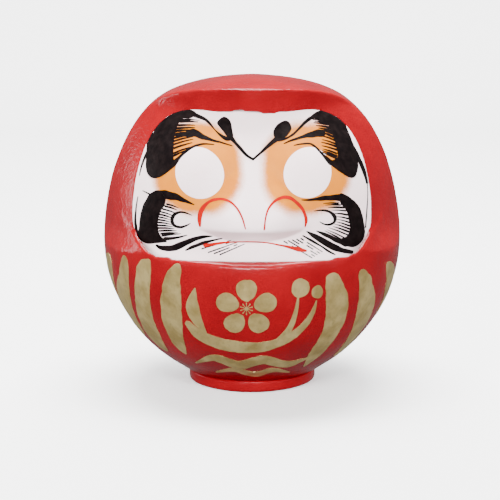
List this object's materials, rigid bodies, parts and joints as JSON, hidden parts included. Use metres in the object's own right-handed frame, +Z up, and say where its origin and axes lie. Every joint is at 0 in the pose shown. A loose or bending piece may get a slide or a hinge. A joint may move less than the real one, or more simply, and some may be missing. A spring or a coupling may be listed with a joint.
{
  "type": "daruma doll",
  "caption": "Round red papier-mâché daruma doll with a hooded white face, blank eyes, black brush brows and beard, and gold stripes on its belly.",
  "frame": {"origin": "centre of the bounding box at the level of the table", "axes": "+Z up, the face looks along -Y, +X to the viewer's right when the doll is seen from the front"},
  "size_m": [0.2306, 0.2201, 0.24],
  "materials": {
    "red_lacquer": "gloss",
    "white_paint": "matte",
    "red_clay": "gloss",
    "plain_paper": "matte",
    "black_paint": "gloss",
    "gold_paint": "satin",
    "red_paint": "satin"
  },
  "bodies": {
    "root": {"front_shell": "red_lacquer", "back_shell": "red_lacquer", "face_panel": "white_paint", "nose": "white_paint", "clay_foot": "red_clay", "base_paper": "plain_paper", "seam_strip_left": "plain_paper", "seam_strip_right": "plain_paper", "seam_strip_crown": "plain_paper"}
  },
  "joints": []
}
